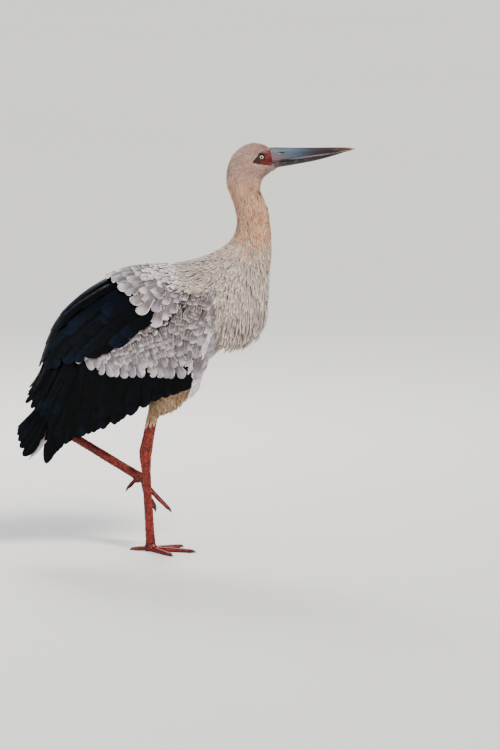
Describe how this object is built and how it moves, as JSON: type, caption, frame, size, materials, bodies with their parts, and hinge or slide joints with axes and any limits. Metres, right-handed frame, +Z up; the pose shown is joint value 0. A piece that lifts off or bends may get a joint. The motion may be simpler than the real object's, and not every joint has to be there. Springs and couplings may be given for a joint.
{
  "type": "standing maguari stork model",
  "caption": "Still life-size Maguari stork standing on one leg with the other leg lifted, long bill level and wings folded.",
  "frame": {"origin": "centre of the standing right foot's sole, on the floor", "axes": "+X forward along the bill, +Y to the bird's left, +Z up"},
  "size_m": [0.8224, 0.225, 1.004],
  "materials": {
    "white_plumage": "matt, soft",
    "covert_plumage": "matt, soft",
    "black_plumage": "satin sheen",
    "horn": "satin",
    "leg_skin": "scaled, satin",
    "claw": "satin",
    "eye": "wet gloss"
  },
  "bodies": {
    "root": {"wing_right_mantle": "white_plumage", "wing_right_scapulars": "black_plumage", "wing_right_coverts": "covert_plumage", "wing_right_quills": "black_plumage", "wing_left_mantle": "white_plumage", "wing_left_scapulars": "black_plumage", "wing_left_coverts": "covert_plumage", "wing_left_quills": "black_plumage", "head": "white_plumage", "neck_upper": "white_plumage", "neck_lower": "white_plumage", "trunk": "white_plumage", "tail": "black_plumage", "tail_undercoverts": "white_plumage", "bill_upper": "horn", "bill_lower": "horn", "eye_right": "eye", "leg_right_thigh": "white_plumage", "leg_right_shank": "leg_skin", "leg_right_tarsus": "leg_skin", "foot_right_sole": "leg_skin", "foot_right_toe_inner": "leg_skin", "foot_right_claw_inner": "claw", "foot_right_toe_middle": "leg_skin", "foot_right_claw_middle": "claw", "foot_right_toe_outer": "leg_skin", "foot_right_claw_outer": "claw", "foot_right_toe_hind": "leg_skin", "foot_right_claw_hind": "claw", "eye_left": "eye", "leg_left_thigh": "white_plumage", "leg_left_shank": "leg_skin", "leg_left_tarsus": "leg_skin", "foot_left_sole": "leg_skin", "foot_left_toe_inner": "leg_skin", "foot_left_claw_inner": "claw", "foot_left_toe_middle": "leg_skin", "foot_left_claw_middle": "claw", "foot_left_toe_outer": "leg_skin", "foot_left_claw_outer": "claw", "foot_left_toe_hind": "leg_skin", "foot_left_claw_hind": "claw"}
  },
  "joints": []
}
